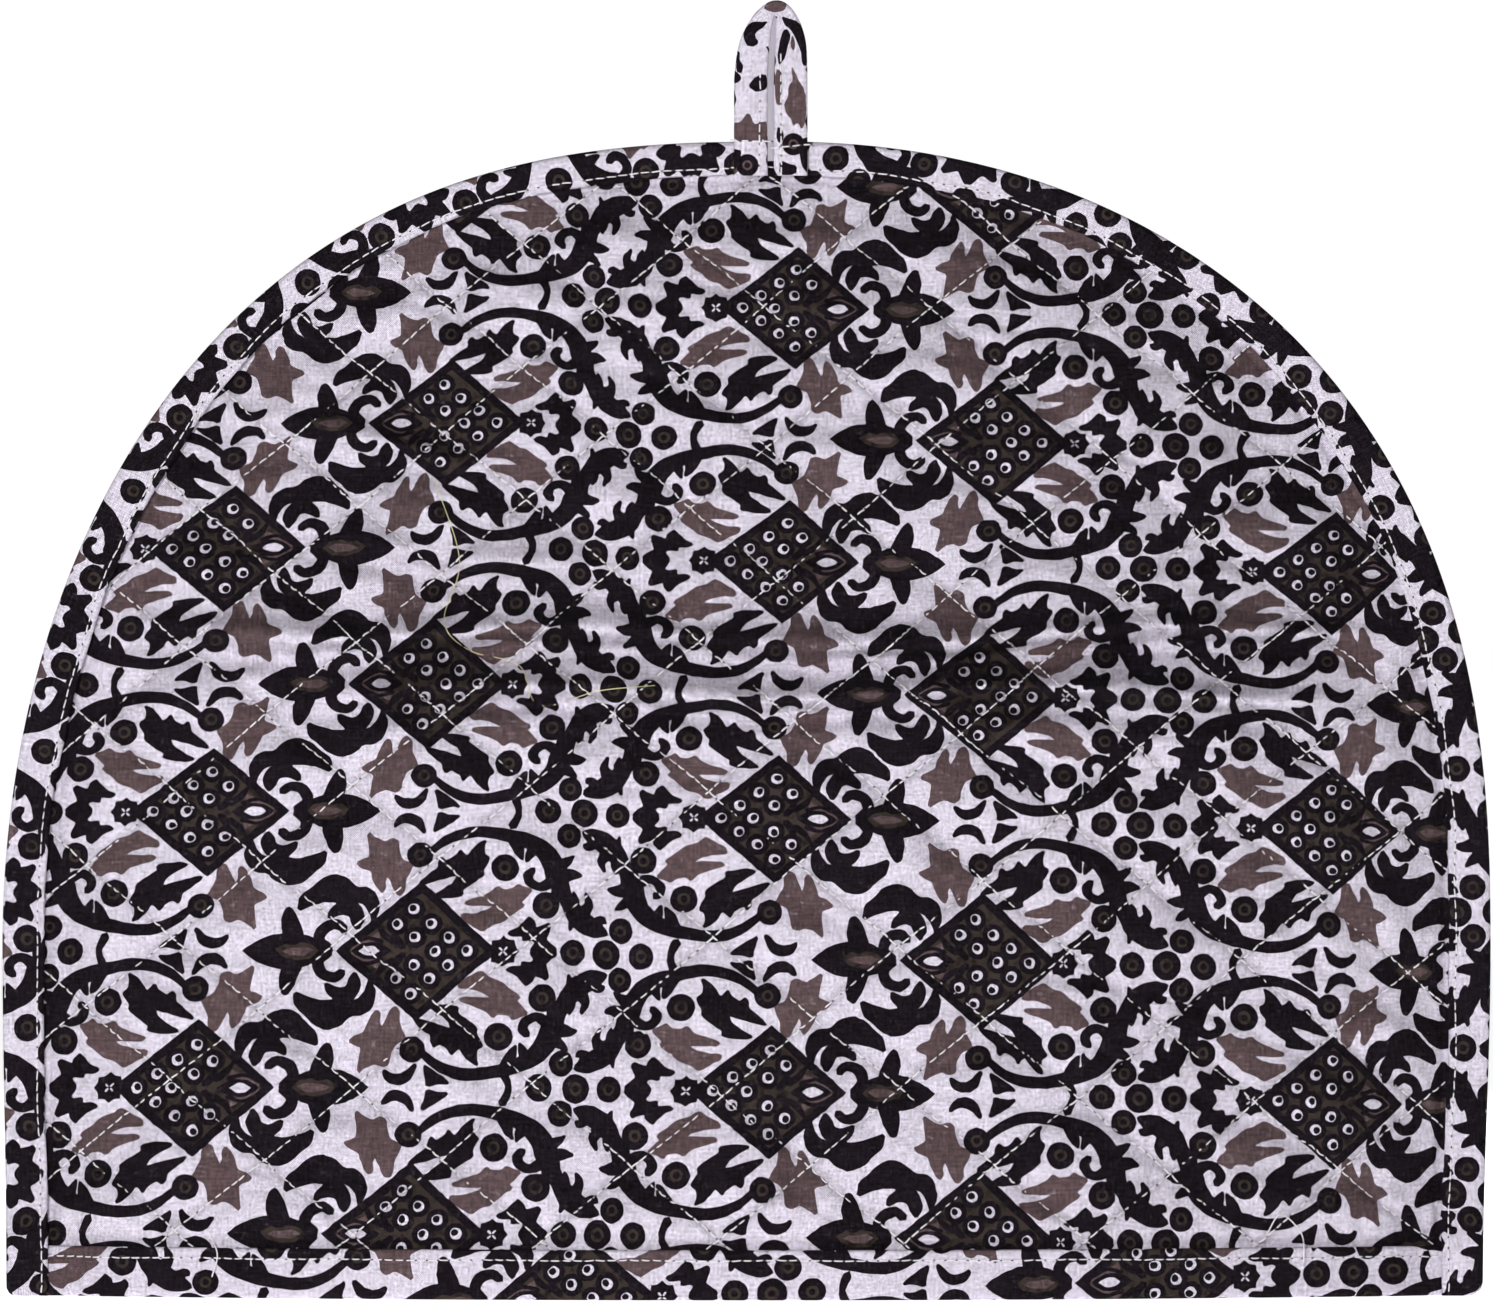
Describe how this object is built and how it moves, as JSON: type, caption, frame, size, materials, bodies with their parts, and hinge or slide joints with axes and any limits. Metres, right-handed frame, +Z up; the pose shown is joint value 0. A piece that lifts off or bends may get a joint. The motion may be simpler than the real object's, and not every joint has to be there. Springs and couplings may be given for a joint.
{
  "type": "tea cosy",
  "caption": "Dome-shaped quilted cotton tea cosy, open below, with a bound edge seam, bound hem and a hanging loop at the crest.",
  "frame": {"origin": "on the surface it stands on, under the middle of the hem", "axes": "+X along the front to the right, +Y from the front panel to the back panel, +Z up"},
  "size_m": [0.356, 0.1002, 0.3098],
  "materials": {
    "printed_quilt": "matt quilted cotton with a block print",
    "printed_tape": "matt printed cotton binding",
    "loop_tape": "matt folded printed cotton tape"
  },
  "bodies": {
    "root": {"front_panel": "printed_quilt", "back_panel": "printed_quilt", "edge_binding": "printed_tape", "front_hem_strip": "printed_tape", "back_hem_strip": "printed_tape", "hanging_loop": "loop_tape"}
  },
  "joints": []
}
